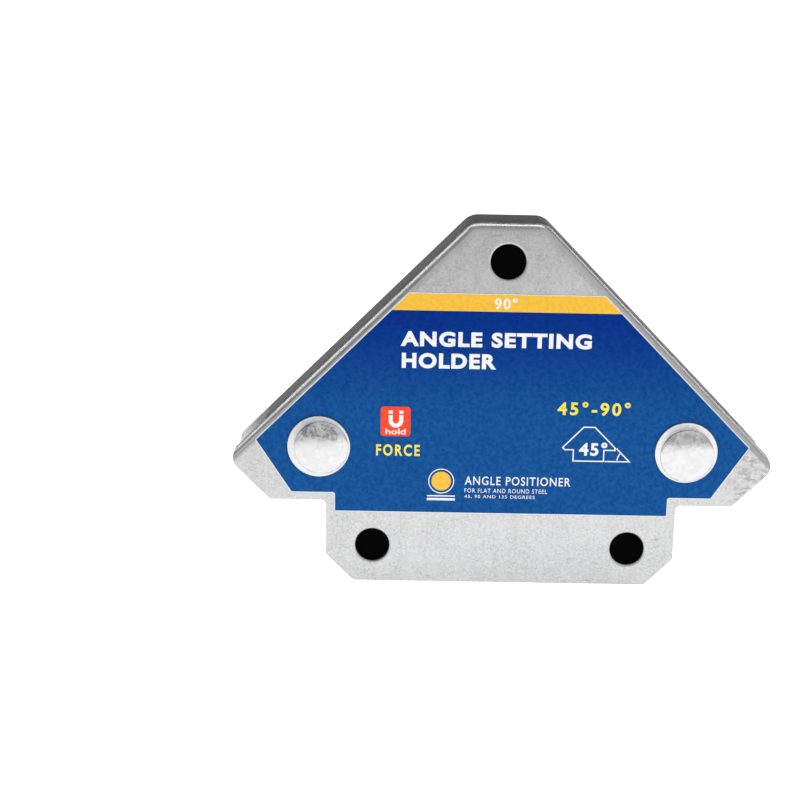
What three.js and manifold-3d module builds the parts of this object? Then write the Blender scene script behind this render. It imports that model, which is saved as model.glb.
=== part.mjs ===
// Magnetic holder that sets steel parts at 45 and 90 degrees for welding.
// Two pressed steel shells are riveted together over a moulded core that carries ferrite magnets.
// Millimetres. X is the width, Y the thickness with the printed front towards -Y, and Z is up.
// The origin is the middle of the foot, on the surface that the foot stands on.

import * as THREE from 'three';
import { mergeVertices } from 'three/addons/utils/BufferGeometryUtils.js';
import Module from 'manifold-3d';

const wasm = await Module();
wasm.setup();

// ---- Driving dimensions: outline -------------------------------------------------------------

const width = 85; // over the rounded tips of the arrowhead
const height = 58; // from the foot to the top edge
const thickness = 12; // over both shells, without the rivet heads
const topFlat = 11.5; // length of the top edge, between the two sloping edges
const tipFace = 6.8; // height of the 45 degree face under each tip
const tipRadius = 2.4;
const footWidth = 55.6;
const footChamfer = 4.4;
const notchRadius = 0.9; // inside corner where the foot meets the arrowhead
const cutCornerRadius = 0.6; // the remaining corners of the blanked outline

// ---- Driving dimensions: shells --------------------------------------------------------------

const sheet = 1.5; // plate thickness
const insideBend = 0.5;
const topCornerExtra = 1.2; // how much the top corners are rounder than the bend
const seamGap = 0.5; // air gap between the two flanges, so they don't short-circuit the magnets
const rearFlangeDepth = 2.4; // from the outer face of the rear plate
const flangeEndGap = 5.2; // from a tip to the end of the flange, along X

// ---- Driving dimensions: holes and rivets ----------------------------------------------------

const holeDiameter = 5.3;
const holeRollRadius = 0.45; // rolled-in edge of a punched hole
const topHoleDrop = 6; // from the top edge to the hole's centre
const footHoleInset = 7.4; // from the side of the foot
const footHoleHeight = 6;
const rivetInset = 13.6; // from a tip, along X
const rivetRise = 2.1; // above the corner of the tip
const shankDiameter = 4.5;
const shankClearance = 0.15; // all round the shank
const headDiameter = 9.9;
const headRim = 0.15; // straight side of the rivet head
const headRound = 0.3; // radius between the side and the top
const headCrown = 0.5; // rise of the domed top

// ---- Driving dimensions: label, core and magnets ---------------------------------------------

const labelThickness = 0.15;
const labelSideGap = 1.1; // from the sloping edges, square to them
const labelBelowHole = 4.9; // from the centre of the top hole to the label
const labelAboveFootHole = 5.6; // from the centre of a foot hole to the label
const labelTipRise = 3; // label corner above the corner of the tip
const labelUndersideGap = 1.2;
const labelFootGap = 1.3; // from the sides of the foot
const labelTipInset = 4.6; // from the tip face, along X, at the underside
const labelCornerRadius = 0.25;
const spacerDiameter = 7;
const coreRecess = 0.8; // core behind the open edges of the plates
const coreFlangeGap = 0.8; // core behind the inner face of the flanges
const spacerWall = 0.8; // core outside a spacer, towards the tip
const pegClearance = 0.1; // round the core's pegs, which fill the three punched holes
const pegRecess = 0.5; // from the outer face of a plate back to the end of a peg
const pocketClearance = 0.2;
const rib = 2; // core between two pockets, and round them
const pocketBelowHole = 7; // from the edge of the top hole to the upper magnets
const magnetSlack = 0.1; // between a magnet and each plate
const footRowHeight = 9.5;

// ---- Derived dimensions ----------------------------------------------------------------------

const cornerLoss = Math.SQRT2 - 1; // share of its radius that rounding takes off a square corner
const sharpHalf = width / 2 + cornerLoss * tipRadius; // half width over the unrounded tips
const topHalf = topFlat / 2;
const tipHeight = height - (sharpHalf - topHalf); // the slopes stand at 45 degrees
const undersideHeight = tipHeight - tipFace;
const underHalf = sharpHalf - tipFace; // where a tip face meets the underside
const footHalf = footWidth / 2;
const footCut = Math.min(footChamfer, undersideHeight - notchRadius - cutCornerRadius);
const outsideBend = insideBend + sheet;
const frontFace = -thickness / 2;
const innerFace = frontFace + sheet;
const frontFlangeDepth = thickness - rearFlangeDepth - seamGap;
const holeRadius = holeDiameter / 2;
const shankRadius = shankDiameter / 2;
const topHoleHeight = height - topHoleDrop;
const footHoleX = footHalf - footHoleInset;
const punchedHoles = [
  [0, topHoleHeight],
  [-footHoleX, footHoleHeight],
  [footHoleX, footHoleHeight],
];
const rivetX = width / 2 - rivetInset;
const rivetHeight = tipHeight + rivetRise;
const headSeat = thickness / 2 + labelThickness; // the heads clamp the labels

const arcSteps = 3; // ExtrudeGeometry makes two facets of each step on an arc
const bendSteps = 6;
const domeSteps = 4;
const roundSteps = 40;

// ---- Outlines, in X and Z --------------------------------------------------------------------

// Corners run anticlockwise seen from the front, each with its rounding radius.
const plateCorners = [
  { x: -footHalf + footCut, z: 0, r: cutCornerRadius },
  { x: footHalf - footCut, z: 0, r: cutCornerRadius },
  { x: footHalf, z: footCut, r: cutCornerRadius },
  { x: footHalf, z: undersideHeight, r: notchRadius },
  { x: underHalf, z: undersideHeight, r: cutCornerRadius },
  { x: sharpHalf, z: tipHeight, r: tipRadius },
  { x: topHalf, z: height, r: outsideBend + topCornerExtra },
  { x: -topHalf, z: height, r: outsideBend + topCornerExtra },
  { x: -sharpHalf, z: tipHeight, r: tipRadius },
  { x: -underHalf, z: undersideHeight, r: cutCornerRadius },
  { x: -footHalf, z: undersideHeight, r: notchRadius },
  { x: -footHalf, z: footCut, r: cutCornerRadius },
];

// Half width at a height, of a shape whose sloping edges lie a gap inside the plate's.
function slopeHalf(z, gap) {
  return topHalf + height - z - gap * Math.SQRT2;
}

// The top edge and the two slopes, carried on below the foot, a gap inside the plate's outline.
function tentCorners(gap, radius) {
  const below = -2 * thickness;
  const top = height - gap;
  return [
    { x: -slopeHalf(below, gap), z: below, r: 0 },
    { x: slopeHalf(below, gap), z: below, r: 0 },
    { x: slopeHalf(top, gap), z: top, r: radius },
    { x: -slopeHalf(top, gap), z: top, r: radius },
  ];
}

// Closed outline through corners, each rounded with an arc where it has a radius.
function roundedShape(corners) {
  const shape = new THREE.Shape();
  corners.forEach((corner, i) => {
    const before = corners.at(i - 1);
    const after = corners[(i + 1) % corners.length];
    const here = new THREE.Vector2(corner.x, corner.z);
    const back = new THREE.Vector2(before.x, before.z).sub(here).normalize();
    const on = new THREE.Vector2(after.x, after.z).sub(here).normalize();
    const halfAngle = Math.acos(back.dot(on)) / 2;
    const start = here.clone().addScaledVector(back, corner.r / Math.tan(halfAngle));
    const end = here.clone().addScaledVector(on, corner.r / Math.tan(halfAngle));
    if (i === 0) {
      shape.moveTo(start.x, start.y);
    } else {
      shape.lineTo(start.x, start.y);
    }
    if (corner.r > 0) {
      const inwards = back.clone().add(on).normalize();
      const centre = here.clone().addScaledVector(inwards, corner.r / Math.sin(halfAngle));
      const from = start.clone().sub(centre).angle();
      const to = end.clone().sub(centre).angle();
      shape.absarc(centre.x, centre.y, corner.r, from, to, back.cross(on) > 0);
    }
  });
  shape.closePath();
  return shape;
}

// ---- Solids ----------------------------------------------------------------------------------

// Extrudes an outline in X and Z from one depth to a deeper one. A bevel rounds the front edge.
function slab(shape, front, back, bevel = 0) {
  const geometry = new THREE.ExtrudeGeometry(shape, {
    depth: back - front - bevel,
    curveSegments: arcSteps,
    bevelEnabled: bevel > 0,
    bevelThickness: bevel,
    bevelSize: bevel,
    bevelOffset: -bevel,
    bevelSegments: bendSteps,
  });
  geometry.rotateX(Math.PI / 2);
  geometry.translate(0, back, 0);
  return geometry;
}

function toManifold(geometry) {
  const bare = geometry.clone();
  bare.deleteAttribute('normal');
  bare.deleteAttribute('uv');
  const merged = mergeVertices(bare, 1e-4);
  return new wasm.Manifold(
    new wasm.Mesh({
      numProp: 3,
      vertProperties: new Float32Array(merged.attributes.position.array),
      triVerts: new Uint32Array(merged.index.array),
    }),
  );
}

function toGeometry(solid) {
  const mesh = solid.getMesh();
  const geometry = new THREE.BufferGeometry();
  geometry.setAttribute('position', new THREE.BufferAttribute(mesh.vertProperties, 3));
  geometry.setIndex(new THREE.BufferAttribute(mesh.triVerts, 1));
  geometry.computeVertexNormals();
  return geometry;
}

// Solid of revolution about the thickness axis, from a profile of [radius, depth] pairs.
function turned(profile) {
  const points = profile.map(([radius, depth]) => new THREE.Vector2(radius, depth));
  return new THREE.LatheGeometry(points, roundSteps);
}

// Profile points on an arc, which starts and ends at the two angles.
function arc(centreRadius, centreDepth, radius, from, to, steps) {
  return Array.from({ length: steps + 1 }, (_, i) => {
    const angle = THREE.MathUtils.lerp(from, to, i / steps);
    return [centreRadius + radius * Math.cos(angle), centreDepth + radius * Math.sin(angle)];
  });
}

// Cutter for a punched hole whose front edge is rolled inwards.
function holeCutter(x, z) {
  const past = 1;
  const roll = arc(
    holeRadius + holeRollRadius,
    frontFace + holeRollRadius,
    holeRollRadius,
    -Math.PI / 2,
    -Math.PI,
    bendSteps,
  );
  const rim = holeRadius + holeRollRadius;
  const cutter = turned([
    [0, frontFace - past],
    [rim, frontFace - past],
    ...roll,
    [holeRadius, innerFace + past],
    [0, innerFace + past],
  ]);
  cutter.translate(x, 0, z);
  return toManifold(cutter);
}

// Round bar along the thickness, the same length to the front and to the back.
function bar(radius, reach, x, z) {
  const geometry = turned([
    [0, -reach],
    [radius, -reach],
    [radius, reach],
    [0, reach],
  ]);
  geometry.translate(x, 0, z);
  return toManifold(geometry);
}

function shankCutters() {
  return [-rivetX, rivetX].map((x) => bar(shankRadius + shankClearance, thickness, x, rivetHeight));
}

// Space beside a tip where the flange is cut away and only the plate runs on.
function tipRelief(side, depth) {
  const middle = side * (width / 2);
  const box = new THREE.BoxGeometry(2 * flangeEndGap, depth, height);
  box.translate(middle, innerFace + depth / 2, tipHeight);
  return toManifold(box);
}

// A pressed shell with its plate towards -Y and its flange reaching the given depth.
function shellGeometry(flangeDepth) {
  const back = frontFace + flangeDepth;
  const past = 1;
  const outline = toManifold(slab(roundedShape(plateCorners), frontFace, back));
  const outerRadius = outsideBend + topCornerExtra;
  const innerRadius = insideBend + topCornerExtra;
  const outer = slab(roundedShape(tentCorners(0, outerRadius)), frontFace, back + past, outsideBend);
  const inner = slab(roundedShape(tentCorners(sheet, innerRadius)), innerFace, back + past, insideBend);
  let shell = outline.intersect(toManifold(outer)).subtract(toManifold(inner));
  const cutters = [
    tipRelief(-1, flangeDepth),
    tipRelief(1, flangeDepth),
    ...punchedHoles.map(([x, z]) => holeCutter(x, z)),
    ...shankCutters(),
  ];
  for (const cutter of cutters) {
    shell = shell.subtract(cutter);
  }
  return toGeometry(shell);
}

// Printed film that covers the plate between the top hole and the foot holes.
function labelGeometry() {
  const top = topHoleHeight - labelBelowHole;
  const tip = tipHeight + labelTipRise;
  const under = undersideHeight + labelUndersideGap;
  const bottom = footHoleHeight + labelAboveFootHole;
  const rightSide = [
    { x: footHalf - labelFootGap, z: bottom },
    { x: footHalf - labelFootGap, z: under },
    { x: underHalf - labelTipInset + labelUndersideGap, z: under },
    { x: slopeHalf(tip, labelSideGap), z: tip },
    { x: slopeHalf(top, labelSideGap), z: top },
  ];
  const leftSide = rightSide.map(({ x, z }) => ({ x: -x, z })).reverse();
  const corners = [...rightSide, ...leftSide].map((corner) => ({ ...corner, r: labelCornerRadius }));
  const film = slab(roundedShape(corners), frontFace - labelThickness, frontFace);
  return toGeometry(shankCutters().reduce((rest, hole) => rest.subtract(hole), toManifold(film)));
}

// Rivet with a low domed head at each end, from the front head's top to the rear one's.
function rivetGeometry() {
  const headRadius = headDiameter / 2;
  const crownRadius = headRadius - headRound;
  const domeRadius = (crownRadius ** 2 + headCrown ** 2) / (2 * headCrown);
  const domeAngle = Math.asin(crownRadius / domeRadius);
  const shoulder = headSeat + headRim;
  const domeCentre = shoulder + headRound + headCrown - domeRadius;
  const quarter = Math.PI / 2;
  const rearHead = [
    [shankRadius, headSeat],
    [headRadius, headSeat],
    ...arc(crownRadius, shoulder, headRound, 0, quarter, bendSteps),
    ...arc(0, domeCentre, domeRadius, quarter - domeAngle, quarter, domeSteps).slice(1, -1),
    [0, domeCentre + domeRadius],
  ];
  const frontHead = rearHead.map(([radius, depth]) => [radius, -depth]).reverse();
  return turned([...frontHead, ...rearHead]);
}

function spacerGeometry() {
  const inside = shankRadius + shankClearance;
  const outside = spacerDiameter / 2;
  return turned([
    [inside, innerFace],
    [outside, innerFace],
    [outside, -innerFace],
    [inside, -innerFace],
    [inside, innerFace],
  ]);
}

// ---- Magnets, in three rows of two between the top hole and the foot -------------------------

const pocketWall = sheet + coreFlangeGap + rib;
const footRowBottom = coreRecess + rib;
const lowerRowBottom = footRowBottom + footRowHeight + rib;
const stackTop = topHoleHeight - holeRadius - pocketBelowHole;
const rowHeight = (stackTop - lowerRowBottom - rib) / 2;
const upperRowBottom = lowerRowBottom + rowHeight + rib;
const footRowHalf = footHoleX - holeRadius - rib;
const rowHalf = rivetX - spacerDiameter / 2 - pocketClearance - rib;

// Two blocks side by side, out to a half width that the sloping edges may cut short.
function rowBlocks(name, bottom, blockHeight, half) {
  const outer = Math.min(half, slopeHalf(bottom + blockHeight, pocketWall));
  return [-1, 1].map((side) => ({
    name: `magnet_${name}_${side < 0 ? 'left' : 'right'}`,
    x: (side * (outer + rib / 2)) / 2,
    z: bottom + blockHeight / 2,
    size: { x: outer - rib / 2, z: blockHeight },
  }));
}

const magnets = [
  ...rowBlocks('foot', footRowBottom, footRowHeight, footRowHalf),
  ...rowBlocks('lower', lowerRowBottom, rowHeight, rowHalf),
  ...rowBlocks('upper', upperRowBottom, rowHeight, rowHalf),
];

function magnetGeometry({ size }) {
  return new THREE.BoxGeometry(size.x, -2 * (innerFace + magnetSlack), size.z);
}

// ---- Core ------------------------------------------------------------------------------------

function pocketCutter({ x, z, size }) {
  const box = new THREE.BoxGeometry(
    size.x + 2 * pocketClearance,
    2 * thickness,
    size.z + 2 * pocketClearance,
  );
  box.translate(x, 0, z);
  return toManifold(box);
}

// Block that fills the space between the plates, short of the tips and of the open edges, with
// pockets for the magnets and spacers, and a peg through each punched hole to locate the shells.
function coreGeometry() {
  const gap = sheet + coreFlangeGap;
  const side = rivetX + spacerDiameter / 2 + pocketClearance + spacerWall;
  const under = undersideHeight + coreRecess;
  const top = height - gap;
  const foot = footHalf - coreRecess;
  const cut = footCut - coreRecess * (2 - Math.SQRT2);
  const rightSide = [
    { x: foot - cut, z: coreRecess },
    { x: foot, z: coreRecess + cut },
    { x: foot, z: under },
    { x: side, z: under },
    { x: side, z: slopeHalf(side, gap) },
    { x: slopeHalf(top, gap), z: top },
  ];
  const leftSide = rightSide.map(({ x, z }) => ({ x: -x, z })).reverse();
  const corners = [...rightSide, ...leftSide].map((corner) => ({ ...corner, r: 0 }));
  let core = toManifold(slab(roundedShape(corners), innerFace, -innerFace));
  for (const magnet of magnets) {
    core = core.subtract(pocketCutter(magnet));
  }
  for (const x of [-rivetX, rivetX]) {
    core = core.subtract(bar(spacerDiameter / 2 + pocketClearance, thickness, x, rivetHeight));
  }
  for (const [x, z] of punchedHoles) {
    core = core.add(bar(holeRadius - pegClearance, thickness / 2 - pegRecess, x, z));
  }
  return toGeometry(core);
}

// ---- Materials and assembly ------------------------------------------------------------------

const plated = { color: 0xc6c6c4, roughness: 0.38, metalness: 0.9 };
const printed = { color: 0x1a4f95, roughness: 0.35, metalness: 0 };
const polished = { color: 0xe2e2e0, roughness: 0.22, metalness: 1 };
const brass = { color: 0xc9a24e, roughness: 0.4, metalness: 1 };
const nylon = { color: 0x0c0c0d, roughness: 0.6, metalness: 0 };
const ferrite = { color: 0x2c2c30, roughness: 0.7, metalness: 0.2 };

const holder = new THREE.Group();

function place(name, geometry, finish, x = 0, z = 0, turn = 0) {
  const mesh = new THREE.Mesh(geometry, new THREE.MeshStandardMaterial(finish));
  mesh.name = name;
  mesh.position.set(x, 0, z);
  mesh.rotation.z = turn;
  holder.add(mesh);
}

place('front_shell', shellGeometry(frontFlangeDepth), plated);
place('rear_shell', shellGeometry(rearFlangeDepth), plated, 0, 0, Math.PI);
place('front_label', labelGeometry(), printed);
place('rear_label', labelGeometry(), printed, 0, 0, Math.PI);

for (const [side, x] of [['left', -rivetX], ['right', rivetX]]) {
  place(`rivet_${side}`, rivetGeometry(), polished, x, rivetHeight);
  place(`spacer_${side}`, spacerGeometry(), brass, x, rivetHeight);
}

place('core', coreGeometry(), nylon);
for (const magnet of magnets) {
  place(magnet.name, magnetGeometry(magnet), ferrite, magnet.x, magnet.z);
}

export default holder;
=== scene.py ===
import math

import bmesh
import bpy
from mathutils import Matrix, Vector

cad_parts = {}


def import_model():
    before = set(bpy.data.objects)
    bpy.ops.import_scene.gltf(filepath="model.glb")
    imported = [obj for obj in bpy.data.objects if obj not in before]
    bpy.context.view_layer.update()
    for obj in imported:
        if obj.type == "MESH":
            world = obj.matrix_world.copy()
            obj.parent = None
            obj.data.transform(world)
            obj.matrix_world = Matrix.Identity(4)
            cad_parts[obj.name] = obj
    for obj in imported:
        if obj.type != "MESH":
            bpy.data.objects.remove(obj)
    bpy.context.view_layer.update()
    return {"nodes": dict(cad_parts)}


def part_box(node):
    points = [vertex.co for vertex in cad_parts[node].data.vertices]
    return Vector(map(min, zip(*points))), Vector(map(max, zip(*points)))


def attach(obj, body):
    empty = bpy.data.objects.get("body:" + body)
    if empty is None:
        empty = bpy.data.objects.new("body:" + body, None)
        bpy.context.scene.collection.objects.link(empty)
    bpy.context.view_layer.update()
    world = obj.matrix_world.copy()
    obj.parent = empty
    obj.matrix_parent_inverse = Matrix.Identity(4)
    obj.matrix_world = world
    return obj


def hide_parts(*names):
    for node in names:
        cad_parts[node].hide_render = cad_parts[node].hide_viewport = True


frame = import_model()

MM = 0.001


# ---- Places and sizes that everything else is worked out from ---------------------------------

label_low, label_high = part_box("front_label")
rivet_low, rivet_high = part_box("rivet_right")
rivet_side = (rivet_low.x + rivet_high.x) / 2
rivet_height = (rivet_low.z + rivet_high.z) / 2
label_front = label_low.y
label_top = label_high.z
half_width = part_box("front_shell")[1].x

# Meshes
MERGE_DISTANCE = 1e-7
INK_MERGE_DISTANCE = 1e-8
FACING_FRONT = -0.99
FLAT_ANGLE = math.radians(0.4)
SHARP_ANGLE = math.radians(25)
SHELL_EDGE = 0.18 * MM
CORE_EDGE = 0.12 * MM
LABEL_EDGE = 0.03 * MM

# Rivets. Each dome has its offset sideways and upwards from the rim's middle, and its radius, in mm.
SHANK_RADIUS = 2.25 * MM
RIM_DROP = 0.62 * MM
RIM_EDGE = 0.14 * MM
SEAT_EDGE = 0.06 * MM
DOME_RISE = 0.46 * MM
GROOVE_RADIUS = 0.05 * MM
GROOVE_OFFSET = 0.09 * MM
GROOVE_WIDTH = 0.2 * MM
DOMES = {"left": (0.39, -0.15, 4.2), "right": (0.15, -0.48, 4.2)}
RIVET_SIDES = 96
ON_AXIS = 1e-6

# Print
INK = 0.02 * MM
BAND = 2.78 * MM
BORDER = 0.16 * MM
HEAD_COVER = 4.8 * MM
ICON_LINE = 0.19 * MM
INSET_CORNER_LIMIT = 0.3
STROKE_CORNER_LIMIT = 0.4


# ---- Node graphs --------------------------------------------------------------------------------

class Nodes:
    """Short calls for building a node tree."""

    def __init__(self, tree):
        self.tree = tree

    def add(self, kind):
        return self.tree.nodes.new(kind)

    def link(self, source, socket):
        self.tree.links.new(source, socket)

    def put(self, socket, value):
        if isinstance(value, bpy.types.NodeSocket):
            self.link(value, socket)
        else:
            socket.default_value = value

    def ramp(self, value, low, high, to_low=0.0, to_high=1.0, smooth=True):
        node = self.add("ShaderNodeMapRange")
        node.interpolation_type = "SMOOTHSTEP" if smooth else "LINEAR"
        for name, number in zip(("From Min", "From Max", "To Min", "To Max"),
                                (low, high, to_low, to_high)):
            node.inputs[name].default_value = number
        self.link(value, node.inputs["Value"])
        return node.outputs["Result"]

    def math(self, operation, *values):
        node = self.add("ShaderNodeMath")
        node.operation = operation
        for socket, value in zip(node.inputs, values):
            self.put(socket, value)
        return node.outputs["Value"]

    def axis(self, vector, name):
        node = self.add("ShaderNodeSeparateXYZ")
        self.link(vector, node.inputs["Vector"])
        return node.outputs[name]


class Graph(Nodes):
    """A new material and its node tree."""

    def __init__(self, name):
        self.material = bpy.data.materials.new(name)
        self.material.use_nodes = True
        super().__init__(self.material.node_tree)
        self.shader = self.tree.nodes["Principled BSDF"]
        coordinates = self.add("ShaderNodeTexCoord")
        self.place = coordinates.outputs["Object"]
        self.normal = coordinates.outputs["Normal"]

    def noise(self, scale, detail=2.0, roughness=0.5, stretch=(1, 1, 1), distortion=0.0):
        mapping = self.add("ShaderNodeMapping")
        self.link(self.place, mapping.inputs["Vector"])
        mapping.inputs["Scale"].default_value = stretch
        node = self.add("ShaderNodeTexNoise")
        self.link(mapping.outputs["Vector"], node.inputs["Vector"])
        node.inputs["Scale"].default_value = scale
        node.inputs["Detail"].default_value = detail
        node.inputs["Roughness"].default_value = roughness
        node.inputs["Distortion"].default_value = distortion
        return node.outputs["Fac"]

    def mix(self, factor, a, b):
        node = self.add("ShaderNodeMix")
        node.data_type = "RGBA"
        factor_socket, a_socket, b_socket = node.inputs[0], node.inputs[6], node.inputs[7]
        self.put(factor_socket, factor)
        self.put(a_socket, a if isinstance(a, bpy.types.NodeSocket) else (*a, 1))
        self.put(b_socket, b if isinstance(b, bpy.types.NodeSocket) else (*b, 1))
        color_output = node.outputs[2]
        return color_output

    def bump(self, height, distance, strength=1.0, below=None):
        node = self.add("ShaderNodeBump")
        node.inputs["Distance"].default_value = distance
        self.put(node.inputs["Strength"], strength)
        self.link(height, node.inputs["Height"])
        if below is not None:
            self.link(below, node.inputs["Normal"])
        return node.outputs["Normal"]

    def grazing_tint(self, level):
        self.shader.inputs["Specular Tint"].default_value = (level, level, level, 1)

    def finish(self, color, roughness, metallic=0.0, bump=None, specular_level=None):
        self.put(self.shader.inputs["Base Color"], color)
        self.put(self.shader.inputs["Roughness"], roughness)
        self.shader.inputs["Metallic"].default_value = metallic
        if specular_level is not None:
            self.shader.inputs["Specular IOR Level"].default_value = specular_level
        if bump is not None:
            self.link(bump, self.shader.inputs["Normal"])
        return self.material


# ---- Materials ----------------------------------------------------------------------------------

PLATING = {
    "dull": (0.424, 0.424, 0.424),
    "light": (0.490, 0.490, 0.488),
    "cloud": (0.395, 0.395, 0.395),
    "rolled": (0.376, 0.376, 0.376),
    "sparkle": (0.59, 0.59, 0.59),
    "scuff": (0.28, 0.28, 0.28),
    "pit": (0.22, 0.22, 0.22),
}
NICKEL_DULL = (0.565, 0.565, 0.57)
NICKEL_LIGHT = (0.625, 0.625, 0.625)
# Darkening for the top of the rivet domes: partly grime, partly painted shade.
GRIME_AND_SHADE = (0.20, 0.19, 0.21)


def plated_steel():
    """Satin plating: mottled, faintly lined by rolling, scuffed, and worn at the right tip.

    The flat faces carry the fine speckle, which fades on bends and flanges.
    """
    g = Graph("plated_steel")
    grain = g.noise(2700, detail=4, roughness=0.75)
    blotch = g.noise(420, detail=5, roughness=0.65, distortion=0.4)
    cloud = g.noise(90, detail=3, roughness=0.6)
    rolling = g.noise(900, detail=3, stretch=(1, 1, 0.04))
    scuffs = g.noise(900, detail=3, stretch=(0.15, 1, 0.5), distortion=1.5)
    fine_marks = g.noise(1300, detail=5, roughness=0.72, stretch=(0.7, 1, 1), distortion=0.6)
    swell = g.noise(110, detail=1)
    flat = g.ramp(g.math("ABSOLUTE", g.axis(g.normal, "Y")), 0.90, 0.985, 0.15, 1.0)
    near_tip = g.ramp(g.axis(g.place, "X"), half_width - 8.5 * MM, half_width - 3.5 * MM)

    mottled = g.mix(g.ramp(blotch, 0.32, 0.68), PLATING["dull"], PLATING["light"])
    clouded = g.mix(g.ramp(cloud, 0.42, 0.68, 0.0, 0.45), mottled, PLATING["cloud"])
    rolled = g.mix(g.ramp(rolling, 0.45, 0.75, 0.0, 0.5), clouded, PLATING["rolled"])
    sparkle = g.math("MULTIPLY", g.ramp(grain, 0.38, 0.64, 0.0, 0.7), flat)
    speckled = g.mix(sparkle, rolled, PLATING["sparkle"])
    tip_wear = g.math("MULTIPLY", g.ramp(fine_marks, 0.46, 0.62, 0.0, 0.9), near_tip)
    marks = g.math("MAXIMUM", g.ramp(scuffs, 0.66, 0.76, 0.0, 0.6), tip_wear)
    scuffed = g.mix(g.math("MULTIPLY", marks, flat), speckled, PLATING["scuff"])
    pits = g.math("MULTIPLY", g.ramp(grain, 0.26, 0.38, 0.65, 0.0), flat)
    color = g.mix(pits, scuffed, PLATING["pit"])

    grained = g.bump(grain, 0.0007 * MM, flat)
    ridged = g.bump(rolling, 0.001 * MM, below=grained)
    waved = g.bump(swell, 0.012 * MM, below=ridged)
    g.grazing_tint(0.13)
    return g.finish(color, g.ramp(blotch, 0.3, 0.7, 0.25, 0.33), metallic=1.0, bump=waved)


def rivet_steel():
    """Bright plating with soft dents. The top part of each dome is darkened in smeared patches, less on
    the right rivet. This is partly grime and partly painted shade for the dim room that the top reflects.
    """
    g = Graph("rivet_steel")
    dents = g.noise(420, detail=3, roughness=0.5, distortion=0.4)
    mottle = g.noise(900, detail=4, roughness=0.65, distortion=0.5)
    smear = g.noise(640, detail=5, roughness=0.72, distortion=0.8)
    sideways = g.axis(g.place, "X")
    across = g.math("SUBTRACT", g.math("ABSOLUTE", sideways), rivet_side)
    up = g.math("SUBTRACT", g.axis(g.place, "Z"), rivet_height)
    squares = g.math("ADD", g.math("POWER", across, 2.0), g.math("POWER", up, 2.0))
    # Painted shade with grime: the top of each dome is darkened in smeared patches, less on the right
    # rivet.
    darkened_radius, undarkened_radius = 3.7 * MM, 4.3 * MM
    on_dome = g.ramp(squares, darkened_radius ** 2, undarkened_radius ** 2, 1.0, 0.0)
    upper = g.math("MULTIPLY", g.ramp(up, 0.4 * MM, 1.8 * MM), on_dome)
    less_grime_and_shade_right = g.ramp(sideways, -1 * MM, 1 * MM, 1.0, 0.55)
    patches = g.math("MULTIPLY", g.ramp(smear, 0.45, 0.60, 0.0, 0.95), less_grime_and_shade_right)
    bright = g.mix(g.ramp(mottle, 0.35, 0.65), NICKEL_DULL, NICKEL_LIGHT)
    color = g.mix(g.math("MULTIPLY", patches, upper), bright, GRIME_AND_SHADE)
    roughness = g.ramp(smear, 0.3, 0.7, 0.12, 0.20)
    g.grazing_tint(0.5)
    return g.finish(color, roughness, metallic=1.0, bump=g.bump(dents, 0.035 * MM))


def brass():
    g = Graph("brass")
    turning = g.noise(1500, stretch=(0.2, 3, 0.2))
    color = g.mix(turning, (0.60, 0.42, 0.16), (0.74, 0.55, 0.24))
    roughness = g.ramp(turning, 0.3, 0.7, 0.3, 0.45)
    return g.finish(color, roughness, metallic=1.0, bump=g.bump(turning, 0.01 * MM))


def core_plastic():
    g = Graph("core_plastic")
    texture = g.noise(1800, detail=3)
    color = g.mix(texture, (0.0008, 0.0009, 0.0008), (0.0018, 0.0020, 0.0018))
    roughness = g.ramp(texture, 0.3, 0.7, 0.7, 0.85)
    return g.finish(color, roughness, bump=g.bump(texture, 0.02 * MM), specular_level=0.01)


def ferrite():
    g = Graph("ferrite")
    grit = g.noise(2600, detail=4, roughness=0.7)
    color = g.mix(grit, (0.018, 0.018, 0.02), (0.06, 0.06, 0.065))
    return g.finish(color, g.ramp(grit, 0.3, 0.7, 0.5, 0.75), bump=g.bump(grit, 0.02 * MM))


def finish_ink(g, grain, color, specular_level):
    """Semi-gloss ink whose sheen varies a little and which shows the film's fine grain."""
    gloss = g.ramp(g.noise(300), 0.3, 0.7, 0.32, 0.42)
    return g.finish(color, gloss, bump=g.bump(grain, 0.002 * MM), specular_level=specular_level)


def ink(name, dark, light):
    g = Graph(name)
    grain = g.noise(1900, detail=3, roughness=0.6)
    return finish_ink(g, grain, g.mix(g.ramp(grain, 0.3, 0.7), dark, light), 0.1)


def blue_ink():
    """Blue ground that deepens to navy towards the band."""
    g = Graph("blue_ink")
    grain = g.noise(1500, detail=3, roughness=0.65)
    fleck = g.ramp(grain, 0.3, 0.7)
    near_band = g.ramp(g.axis(g.place, "Z"), label_top - 22 * MM, label_top - 2 * MM)
    blue = g.mix(fleck, (0.002, 0.066, 0.252), (0.010, 0.094, 0.312))
    navy = g.mix(fleck, (0.0, 0.023, 0.215), (0.0, 0.032, 0.240))
    return finish_ink(g, grain, g.mix(near_band, blue, navy), 0.04)


STEEL = plated_steel()
RIVET = rivet_steel()
BRASS = brass()
CORE = core_plastic()
FERRITE = ferrite()
FILM = ink("film_white", (0.70, 0.69, 0.66), (0.80, 0.79, 0.76))
BLUE = blue_ink()
YELLOW = ink("ink_yellow", (0.84, 0.48, 0.045), (0.93, 0.54, 0.055))
WHITE = ink("ink_white", (0.80, 0.80, 0.80), (0.92, 0.92, 0.92))
LEMON = ink("ink_lemon", (0.84, 0.72, 0.06), (0.93, 0.80, 0.10))
RED = ink("ink_red", (0.86, 0.055, 0.02), (0.95, 0.085, 0.03))


# ---- Solid pieces -------------------------------------------------------------------------------

def set_material(obj, material):
    obj.data.materials.clear()
    obj.data.materials.append(material)


def finish_piece(obj, material, slot, *nodes):
    """Gives a new piece its material and its body, and hides the CAD nodes that it stands for."""
    set_material(obj, material)
    if nodes:
        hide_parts(*nodes)
    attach(obj, "root")


def linked(name, data):
    obj = bpy.data.objects.new(name, data)
    bpy.context.scene.collection.objects.link(obj)
    return obj


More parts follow.
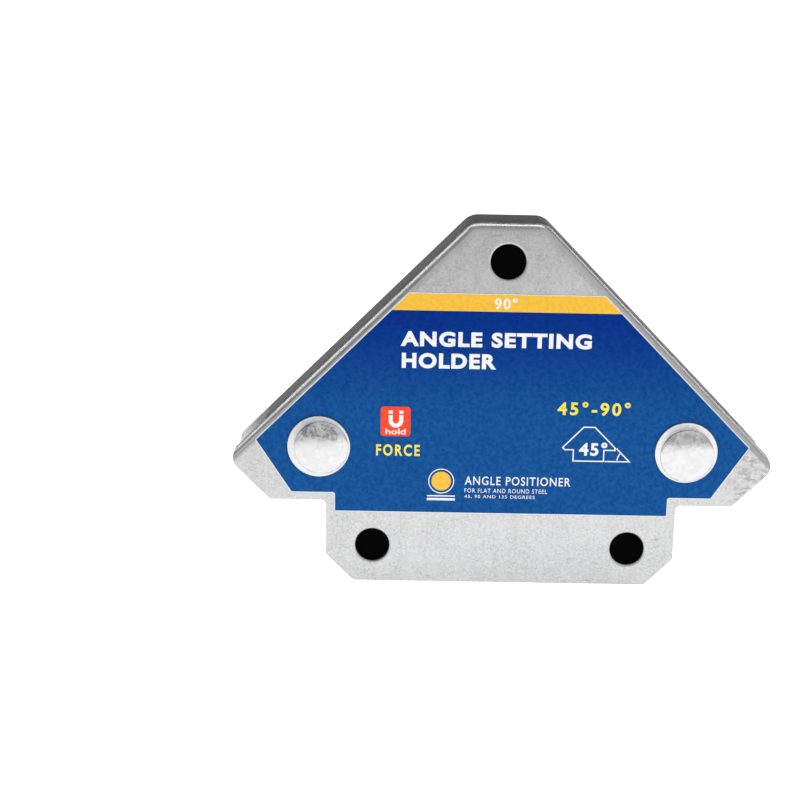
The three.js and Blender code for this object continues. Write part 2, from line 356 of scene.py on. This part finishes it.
def smooth_object(name, bm):
    """Turns a finished bmesh into a smooth-shaded object."""
    for face in bm.faces:
        face.smooth = True
    mesh = bpy.data.meshes.new(name)
    bm.to_mesh(mesh)
    bm.free()
    return linked(name, mesh)


def merged_node(node):
    """A CAD node's mesh as a new bmesh whose faces share their corners."""
    bm = bmesh.new()
    bm.from_mesh(frame["nodes"][node].data)
    bmesh.ops.remove_doubles(bm, verts=bm.verts, dist=MERGE_DISTANCE)
    return bm


def refined(node, name, edge_radius, material, slot):
    """A CAD node's shape with its flat faces made whole and its sharp edges rounded."""
    bm = merged_node(node)
    bmesh.ops.dissolve_limit(bm, angle_limit=FLAT_ANGLE, verts=bm.verts, edges=bm.edges)
    sharp = [e for e in bm.edges if len(e.link_faces) == 2 and e.calc_face_angle() > SHARP_ANGLE]
    bmesh.ops.bevel(bm, geom=sharp, offset=edge_radius, segments=2, profile=0.5,
                    affect="EDGES", clamp_overlap=True)
    obj = smooth_object(name, bm)
    weighted = obj.modifiers.new("even_shading", "WEIGHTED_NORMAL")
    weighted.keep_sharp = True
    finish_piece(obj, material, slot, node)


def arc_points(r, depth, radius, start, end, steps):
    angles = [math.radians(start + (end - start) * i / steps) for i in range(steps + 1)]
    return [(r + radius * math.cos(a), depth + radius * math.sin(a)) for a in angles]


def head_profile(head_radius, dome_radius, seat, top):
    """Radius and depth of one head: from the shank out over its flat rim and in over its dome."""
    rim_top = top - RIM_DROP
    dome_foot = top - DOME_RISE
    sphere = (dome_radius ** 2 + (top - dome_foot) ** 2) / (2 * (top - dome_foot))
    reach = math.degrees(math.asin(dome_radius / sphere))
    return [
        (SHANK_RADIUS, seat),
        (head_radius - SEAT_EDGE, seat),
        (head_radius, seat + SEAT_EDGE),
        *arc_points(head_radius - RIM_EDGE, rim_top - RIM_EDGE, RIM_EDGE, 0, 90, 6),
        *arc_points(dome_radius + GROOVE_OFFSET, rim_top + GROOVE_RADIUS, GROOVE_RADIUS, 270, 180, 3),
        *arc_points(0, top - sphere, sphere, 90 - reach, 90, 14),
    ]


def rivet(side):
    """Cold-headed rivet: a flat rim round a low dome, on both ends of its shank."""
    node = f"rivet_{side}"
    low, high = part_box(node)
    middle = (low + high) / 2
    head_radius = (high.x - low.x) / 2
    seat = -label_front
    aside, up, dome_radius = (value * MM for value in DOMES[side])
    half = head_profile(head_radius, dome_radius, seat, high.y)
    dome_reach = dome_radius + GROOVE_WIDTH
    angles = [2 * math.pi * i / RIVET_SIDES for i in range(RIVET_SIDES)]
    bm = bmesh.new()
    rings = []
    for r, depth in [(r, -depth) for r, depth in half[::-1]] + half:
        on_dome = r < dome_reach and abs(depth) > seat
        x = middle.x + (aside if on_dome else 0)
        z = middle.z + (up if on_dome else 0)
        if r < ON_AXIS:
            rings.append([bm.verts.new((x, depth, z))])
            continue
        rings.append([bm.verts.new((x + r * math.cos(a), depth, z + r * math.sin(a))) for a in angles])
    for one, two in zip(rings, rings[1:]):
        for i in range(RIVET_SIDES):
            corners = [one[i % len(one)], one[(i + 1) % len(one)],
                       two[(i + 1) % len(two)], two[i % len(two)]]
            bm.faces.new(list(dict.fromkeys(corners)))
    bmesh.ops.recalc_face_normals(bm, faces=bm.faces)
    finish_piece(smooth_object(f"rivet_{side}_headed", bm), RIVET, "rivet_steel", node)


# ---- Printing -----------------------------------------------------------------------------------

def print_matrix(facing_rear):
    """Turns a drawing in X and Y into a print on the front label, or on the rear one."""
    onto_label = Matrix.Translation((0, label_front, 0)) @ Matrix.Rotation(math.pi / 2, 4, "X")
    return Matrix.Rotation(math.pi, 4, "Z") @ onto_label if facing_rear else onto_label


def mesh_from_curve(curve, name):
    drawing = linked(name + "_drawing", curve)
    bpy.context.view_layer.update()
    graph = bpy.context.evaluated_depsgraph_get()
    mesh = bpy.data.meshes.new_from_object(drawing.evaluated_get(graph))
    bpy.data.objects.remove(drawing)
    mesh.name = name
    return mesh


def printed(name, mesh, material, layer):
    """Puts a flat drawing on both labels as a thin layer of ink. A higher layer lies on a lower one."""
    bm = bmesh.new()
    bm.from_mesh(mesh)
    bmesh.ops.remove_doubles(bm, verts=bm.verts, dist=INK_MERGE_DISTANCE)
    low = min(v.co.z for v in bm.verts)
    high = max(v.co.z for v in bm.verts)
    for v in bm.verts:
        v.co.z = (v.co.z - low) / (high - low) * layer * INK
    bm.to_mesh(mesh)
    bm.free()
    for side, facing_rear in (("front", False), ("rear", True)):
        copy = mesh.copy()
        copy.transform(print_matrix(facing_rear))
        copy.name = f"{side}_{name}"
        finish_piece(linked(copy.name, copy), material, "printed_film")


def print_shape(name, loops, material, layer=1):
    """Prints closed outlines, given as (x, z) points. An outline inside another one is a hole."""
    curve = bpy.data.curves.new(name, "CURVE")
    curve.dimensions = "2D"
    curve.fill_mode = "BOTH"
    curve.extrude = 0.5 * INK
    for loop in loops:
        spline = curve.splines.new("POLY")
        spline.points.add(len(loop) - 1)
        for point, (x, z) in zip(spline.points, loop):
            point.co = (x, z, 0, 1)
        spline.use_cyclic_u = True
    printed(name, mesh_from_curve(curve, name), material, layer)


def print_text(name, words, box, material, weight, layer=2, gap=1.0):
    """Sets words in a box of left, right, top and bottom, which the letters fill both ways."""
    left, right, top, bottom = box
    text = bpy.data.curves.new(name, "FONT")
    text.body = words
    text.size = 1.0
    text.offset = weight
    text.space_character = gap
    text.extrude = 0.01
    text.resolution_u = 4
    mesh = mesh_from_curve(text, name)
    xs = [v.co.x for v in mesh.vertices]
    ys = [v.co.y for v in mesh.vertices]
    scale = Vector(((right - left) / (max(xs) - min(xs)), (top - bottom) / (max(ys) - min(ys))))
    for v in mesh.vertices:
        v.co.x = left + (v.co.x - min(xs)) * scale.x
        v.co.y = bottom + (v.co.y - min(ys)) * scale.y
    printed(name, mesh, material, layer)


# ---- Outlines, as lists of (x, z) points --------------------------------------------------------

def area_of(points):
    """Area inside an outline, positive when it runs anticlockwise."""
    pairs = zip(points, points[1:] + points[:1])
    return sum(a[0] * b[1] - b[0] * a[1] for a, b in pairs) / 2


def label_outline():
    """Anticlockwise outline of the front label's face."""
    bm = merged_node("front_label")
    onward = {}
    for face in bm.faces:
        if face.normal.y > FACING_FRONT:
            continue
        for loop in face.loops:
            if any(other.normal.y > FACING_FRONT for other in loop.edge.link_faces):
                onward[loop.vert.index] = loop.link_loop_next.vert.index
    where = {v.index: (v.co.x, v.co.z) for v in bm.verts}
    bm.free()
    loops = []
    while onward:
        start, here = onward.popitem()
        points = [where[start]]
        while here != start:
            points.append(where[here])
            here = onward.pop(here)
        loops.append(points)
    outline = max(loops, key=lambda points: abs(area_of(points)))
    return outline if area_of(outline) > 0 else outline[::-1]


def inset(points, gap):
    """Moves every side of an anticlockwise outline inwards by the same gap."""
    moved = []
    for before, here, after in zip(points[-1:] + points[:-1], points, points[1:] + points[:1]):
        along_in = (Vector(here) - Vector(before)).normalized()
        along_out = (Vector(after) - Vector(here)).normalized()
        normal_in = Vector((-along_in.y, along_in.x))
        normal_out = Vector((-along_out.y, along_out.x))
        middle = (normal_in + normal_out).normalized()
        moved.append(tuple(Vector(here) + middle * gap / max(middle.dot(normal_in), INSET_CORNER_LIMIT)))
    return moved


def cut_at(points, level, keep_above):
    """The part of an outline above or below a level."""
    kept = []
    for a, b in zip(points, points[1:] + points[:1]):
        a_in, b_in = ((p[1] >= level) == keep_above for p in (a, b))
        if a_in:
            kept.append(a)
        if a_in != b_in:
            share = (level - a[1]) / (b[1] - a[1])
            kept.append((a[0] + share * (b[0] - a[0]), level))
    return kept


def circle(x, z, radius, steps):
    angles = [2 * math.pi * i / steps for i in range(steps)]
    return [(x + radius * math.cos(a), z + radius * math.sin(a)) for a in angles]


def rounded_box(left, right, top, bottom, radius, steps=6):
    corners = (
        (right - radius, top - radius, 0),
        (left + radius, top - radius, 90),
        (left + radius, bottom + radius, 180),
        (right - radius, bottom + radius, 270),
    )
    points = []
    for x, z, start in corners:
        for i in range(steps + 1):
            angle = math.radians(start + 90 * i / steps)
            points.append((x + radius * math.cos(angle), z + radius * math.sin(angle)))
    return points


def stroke(points, width):
    """Outline of a line of even width through a few points."""
    sides = ([], [])
    for i, point in enumerate(points):
        here = Vector(point)
        before = Vector(points[max(i - 1, 0)])
        after = Vector(points[min(i + 1, len(points) - 1)])
        along = [v.normalized() for v in (here - before, after - here) if v.length > 0]
        mean = sum(along, Vector((0, 0))).normalized()
        across = Vector((-mean.y, mean.x))
        first_normal = Vector((-along[0].y, along[0].x))
        reach = width / 2 / max(across.dot(first_normal), STROKE_CORNER_LIMIT)
        sides[0].append(tuple(here + across * reach))
        sides[1].append(tuple(here - across * reach))
    return sides[0] + sides[1][::-1]


def closed_stroke(points, width):
    """Even line round a closed, anticlockwise outline."""
    return [inset(points, -width / 2), inset(points, width / 2)]


def in_metres(points):
    return [(x * MM, z * MM) for x, z in points]


# ---- Label artwork, in millimetres from the middle of the foot ----------------------------------

def label_ground():
    """Blue ground and yellow band inside a thin border of bare film."""
    inner = inset(label_outline(), BORDER)
    band_foot = label_top - BAND
    middles = [sum(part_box(node), Vector()) / 2 for node in ("rivet_left", "rivet_right")]
    covers = [circle(middle.x, middle.z, HEAD_COVER, 64) for middle in middles]
    print_shape("blue_ground", [cut_at(inner, band_foot, False), *covers], BLUE)
    print_shape("yellow_band", [cut_at(inner, band_foot, True)], YELLOW)


def label_words():
    """Generic wording. Each line has its box, as left, right, top and bottom, and its weight."""
    lines = (
        ("angle_top", "90\u00b0", (-1.93, 1.55, 46.50, 44.73), WHITE, 0.022),
        ("title_upper", "ANGLE SETTING", (-16.27, 13.23, 41.06, 38.67), WHITE, 0.045),
        ("title_lower", "HOLDER", (-16.07, -1.42, 37.65, 35.2), WHITE, 0.045),
        ("angle_range", "45\u00b0-90\u00b0", (8.37, 19.79, 30.30, 28.07), LEMON, 0.028),
        ("badge_word", "FORCE", (-19.91, -13.04, 22.86, 20.98), LEMON, 0.028),
        ("angle_icon", "45\u00b0", (12.0, 16.43, 23.75, 21.55), WHITE, 0.03),
        ("maker_line", "ANGLE POSITIONER", (-5.85, 10.87, 17.83, 16.41), WHITE, 0.008),
        ("small_line_upper", "FOR FLAT AND ROUND STEEL", (-5.85, 7.25, 15.83, 15.13), WHITE, 0.0),
        ("small_line_lower", "45, 90 AND 135 DEGREES", (-5.85, 5.31, 14.76, 14.16), WHITE, 0.0),
    )
    for name, words, box, material, weight in lines:
        gap = 1.3 if material is LEMON else 1.15
        print_text(name, words, [edge * MM for edge in box], material, weight, gap=gap)


def label_badge():
    """Red badge with a horseshoe magnet and a word."""
    badge = rounded_box(-19.24, -14.56, 28.98, 24.2, 0.5)
    print_shape("badge", [in_metres(badge)], RED, 2)
    word_box = (-18.45, -15.3, 25.45, 24.5)
    print_text("badge_hold", "hold", [edge * MM for edge in word_box], WHITE, 0.015, 3)
    centre_x, centre_z = -16.85, 27.0
    outer, inner = 1.15, 0.5
    bend_height, leg_top, pole_foot, pole_top = -0.25, 0.62, 0.85, 1.35
    bend = [math.radians(180 + 15 * i) for i in range(13)]
    outside = [(outer * math.cos(a), bend_height + outer * math.sin(a)) for a in bend]
    inside = [(inner * math.cos(a), bend_height + inner * math.sin(a)) for a in bend[::-1]]
    shapes = (
        ("horseshoe", [(-outer, leg_top), *outside, (outer, leg_top),
                       (inner, leg_top), *inside, (-inner, leg_top)]),
        ("pole_left", [(-outer, pole_foot), (-inner, pole_foot), (-inner, pole_top), (-outer, pole_top)]),
        ("pole_right", [(inner, pole_foot), (outer, pole_foot), (outer, pole_top), (inner, pole_top)]),
    )
    for name, points in shapes:
        placed = [(centre_x + x, centre_z + z) for x, z in points]
        print_shape(name, [in_metres(placed)], WHITE, 3)


def label_icon():
    """Line drawing of the holder with its 45 degree side angle."""
    holder = [(9.40, 22.83), (9.77, 22.49), (11.12, 22.49), (11.12, 20.66), (15.93, 20.66),
              (15.93, 22.49), (17.68, 22.49), (17.68, 22.88), (14.38, 26.2), (12.62, 26.2)]
    wedge = [(16.13, 20.66), (20.02, 20.66), (17.9, 22.8)]
    arc_x, arc_z, arc_radius = 20.02, 20.75, 1.95
    turns = [math.radians(137 + 5 * i) for i in range(9)]
    sweep = [(arc_x + arc_radius * math.cos(a), arc_z + arc_radius * math.sin(a)) for a in turns]
    print_shape("icon_holder", closed_stroke(in_metres(holder), ICON_LINE), WHITE, 2)
    print_shape("icon_wedge", [stroke(in_metres(wedge), ICON_LINE)], WHITE, 2)
    print_shape("icon_arc", [stroke(in_metres(sweep), ICON_LINE)], WHITE, 2)


def label_mark():
    """Plain disc in a ring over two bars."""
    x, z = -9.57, 16.95
    disc_radius, ring_inside, ring_outside = 1.55, 1.9, 2.05
    bar_left, bar_right, bar_round = -11.79, -7.35, 0.08
    disc, outside, inside = (in_metres(circle(x, z, radius, 40))
                             for radius in (disc_radius, ring_outside, ring_inside))
    print_shape("mark_disc", [disc], YELLOW, 2)
    print_shape("mark_ring", [outside, inside], WHITE, 2)
    for name, top, bottom in (("mark_bar", 14.6, 14.4), ("mark_base", 14.15, 13.75)):
        bar = rounded_box(bar_left, bar_right, top, bottom, bar_round)
        print_shape(name, [in_metres(bar)], WHITE, 2)


# ---- Camera, floor and light --------------------------------------------------------------------

LIGHT_DISTANCE = 0.9
LIGHT_CENTRE = Vector((0, 0, 0.03))


def camera():
    """In front of the label, a little to the left of its middle and a little above it."""
    data = bpy.data.cameras.new("camera")
    data.sensor_width = 36
    data.lens = 65.25
    data.shift_x = -0.0527
    data.shift_y = -0.0049
    data.clip_start = 0.01
    data.clip_end = 50
    obj = linked("camera", data)
    place = Matrix.Translation(Vector((-12.3, -225.0, 86.6)) * MM)
    yaw = Matrix.Rotation(math.radians(-0.68), 4, "Z")
    pitch = Matrix.Rotation(math.radians(90 - 14.3), 4, "X")
    roll = Matrix.Rotation(math.radians(1.21), 4, "Z")
    obj.matrix_world = place @ yaw @ pitch @ roll
    bpy.context.scene.camera = obj


def floor():
    """Pale sheet that glows a little, most of all round the object, and curves up far behind it."""
    g = Graph("floor")
    soft = g.noise(6, detail=2)
    depth = g.axis(g.place, "Y")
    towards = g.math("ADD", depth, g.axis(g.place, "X"))
    near = g.math("MULTIPLY", g.ramp(towards, -0.385, -0.05), g.ramp(depth, 0.12, 0.5, 1.0, 0.6))
    g.link(g.math("MULTIPLY_ADD", near, 0.745, 0.155), g.shader.inputs["Emission Strength"])
    g.shader.inputs["Emission Color"].default_value = (1, 1, 1, 1)
    material = g.finish(g.mix(soft, (0.80, 0.80, 0.80), (0.83, 0.83, 0.83)), 0.75)
    front, back, side, radius, steps = -3.0, 2.6, 4.0, 0.22, 12
    profile = [(front, 0.0), (back, 0.0)]
    for i in range(1, steps + 1):
        angle = math.radians(90 * i / steps)
        profile.append((back + radius * math.sin(angle), radius * (1 - math.cos(angle))))
    verts = [(x, y, z) for y, z in profile for x in (-side, side)]
    faces = [(2 * i, 2 * i + 1, 2 * i + 3, 2 * i + 2) for i in range(len(profile) - 1)]
    mesh = bpy.data.meshes.new("floor")
    mesh.from_pydata(verts, [], faces)
    mesh.materials.append(material)
    for face in mesh.polygons:
        face.use_smooth = True
    linked("floor", mesh)


def world():
    """Pale room: bright low down and in front, dim above and behind, with a darker patch low behind
    the object's right side."""
    scene_world = bpy.data.worlds.new("studio")
    bpy.context.scene.world = scene_world
    scene_world.use_nodes = True
    w = Nodes(scene_world.node_tree)
    direction = w.add("ShaderNodeTexCoord").outputs["Generated"]
    aside, depth, height = (w.axis(direction, name) for name in "XYZ")
    patch = w.math("MULTIPLY", w.ramp(aside, 0.25, 0.42, smooth=False),
                   w.ramp(depth, 0.35, 0.6, smooth=False))
    horizon = w.ramp(depth, -0.60, 0.0, 0.86, 0.95, smooth=False)
    low = w.math("SUBTRACT", horizon, w.math("MULTIPLY", patch, 0.65))
    towards_right = w.math("MULTIPLY", w.math("MAXIMUM", aside, 0.0), 0.7)
    backwards = w.math("SUBTRACT", depth, towards_right)
    high = w.ramp(backwards, -0.80, -0.20, 0.90, 0.25, smooth=False)
    blend = w.add("ShaderNodeMix")
    factor_socket, low_socket, high_socket = blend.inputs[0], blend.inputs[2], blend.inputs[3]
    w.link(w.ramp(height, 0.16, 0.36, smooth=False), factor_socket)
    w.link(low, low_socket)
    w.link(high, high_socket)
    background = w.tree.nodes["Background"]
    w.link(blend.outputs[0], background.inputs["Strength"])
    background.inputs["Color"].default_value = (1, 1, 1, 1)


def strip_light(name, direction, along, length, width, power):
    """Strip light in a direction from the object, its length turned towards another one."""
    data = bpy.data.lights.new(name, "AREA")
    data.shape = "RECTANGLE"
    data.size = length
    data.size_y = width
    data.energy = power
    away = Vector(direction).normalized()
    across = (Vector(along) - away * away.dot(Vector(along))).normalized()
    turn = Matrix((across, away.cross(across), away)).transposed().to_4x4()
    linked(name, data).matrix_world = Matrix.Translation(away * LIGHT_DISTANCE + LIGHT_CENTRE) @ turn


# ---- The scene ----------------------------------------------------------------------------------

bpy.context.scene.view_settings.view_transform = "Standard"
camera()
floor()
world()
strip_light("overhead", (0.0, 0.09, 0.95), (1, 0, 0), length=0.9, width=0.16, power=1.9)
strip_light("left", (-0.68, 0.28, 0.65), (-0.6, 0.06, -0.78), length=0.80, width=0.10, power=1.15)
strip_light("right", (0.77, 0.50, 0.385), (0.5, -0.1, -0.86), length=0.80, width=0.14, power=1.2)

refined("front_shell", "front_shell_pressed", SHELL_EDGE, STEEL, "plated_steel")
refined("rear_shell", "rear_shell_pressed", SHELL_EDGE, STEEL, "plated_steel")
refined("core", "core_moulded", CORE_EDGE, CORE, "core_plastic")
refined("front_label", "front_label_film", LABEL_EDGE, FILM, "printed_film")
refined("rear_label", "rear_label_film", LABEL_EDGE, FILM, "printed_film")
rivet("left")
rivet("right")
for name, node in frame["nodes"].items():
    if name.startswith("spacer"):
        set_material(node, BRASS)
    if name.startswith("magnet"):
        set_material(node, FERRITE)
label_ground()
label_words()
label_badge()
label_icon()
label_mark()
